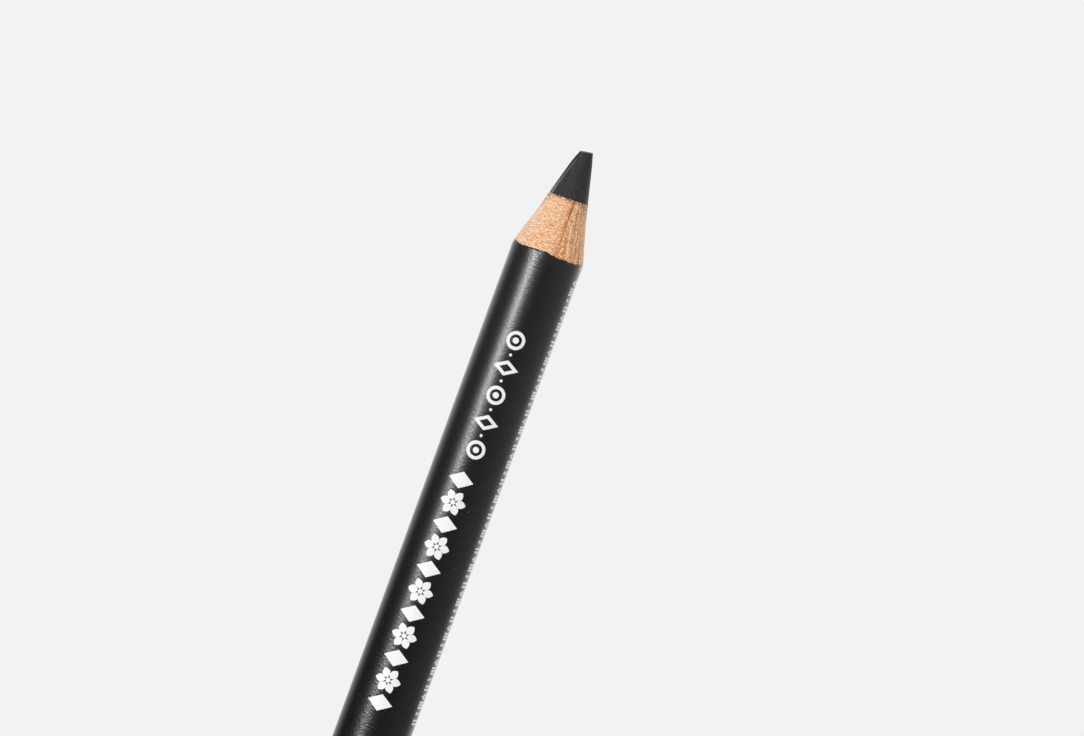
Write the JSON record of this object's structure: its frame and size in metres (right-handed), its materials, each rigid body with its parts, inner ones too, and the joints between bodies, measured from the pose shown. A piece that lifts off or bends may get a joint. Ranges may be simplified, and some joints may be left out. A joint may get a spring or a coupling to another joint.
{
  "type": "cosmetic eyeliner pencil",
  "caption": "Round wood-cased eyeliner pencil with a black lacquered barrel, a grooved two-slat casing and a sharpened, slightly worn black point.",
  "frame": {"origin": "centre of the flat butt end, on the surface that the pencil stands on", "axes": "+Z along the pencil from the butt to the tip, -Y towards the side with the bold print, +X to the right of that side"},
  "size_m": [0.0074, 0.0074, 0.128],
  "materials": {
    "pale_wood": "matte",
    "brown_wood": "matte",
    "cosmetic_lead": "matte",
    "black_lacquer": "satin",
    "white_ink": "satin"
  },
  "bodies": {
    "root": {"left_slat": "pale_wood", "right_slat": "brown_wood", "lead": "cosmetic_lead", "lacquer": "black_lacquer", "end_dip": "black_lacquer"}
  },
  "joints": []
}
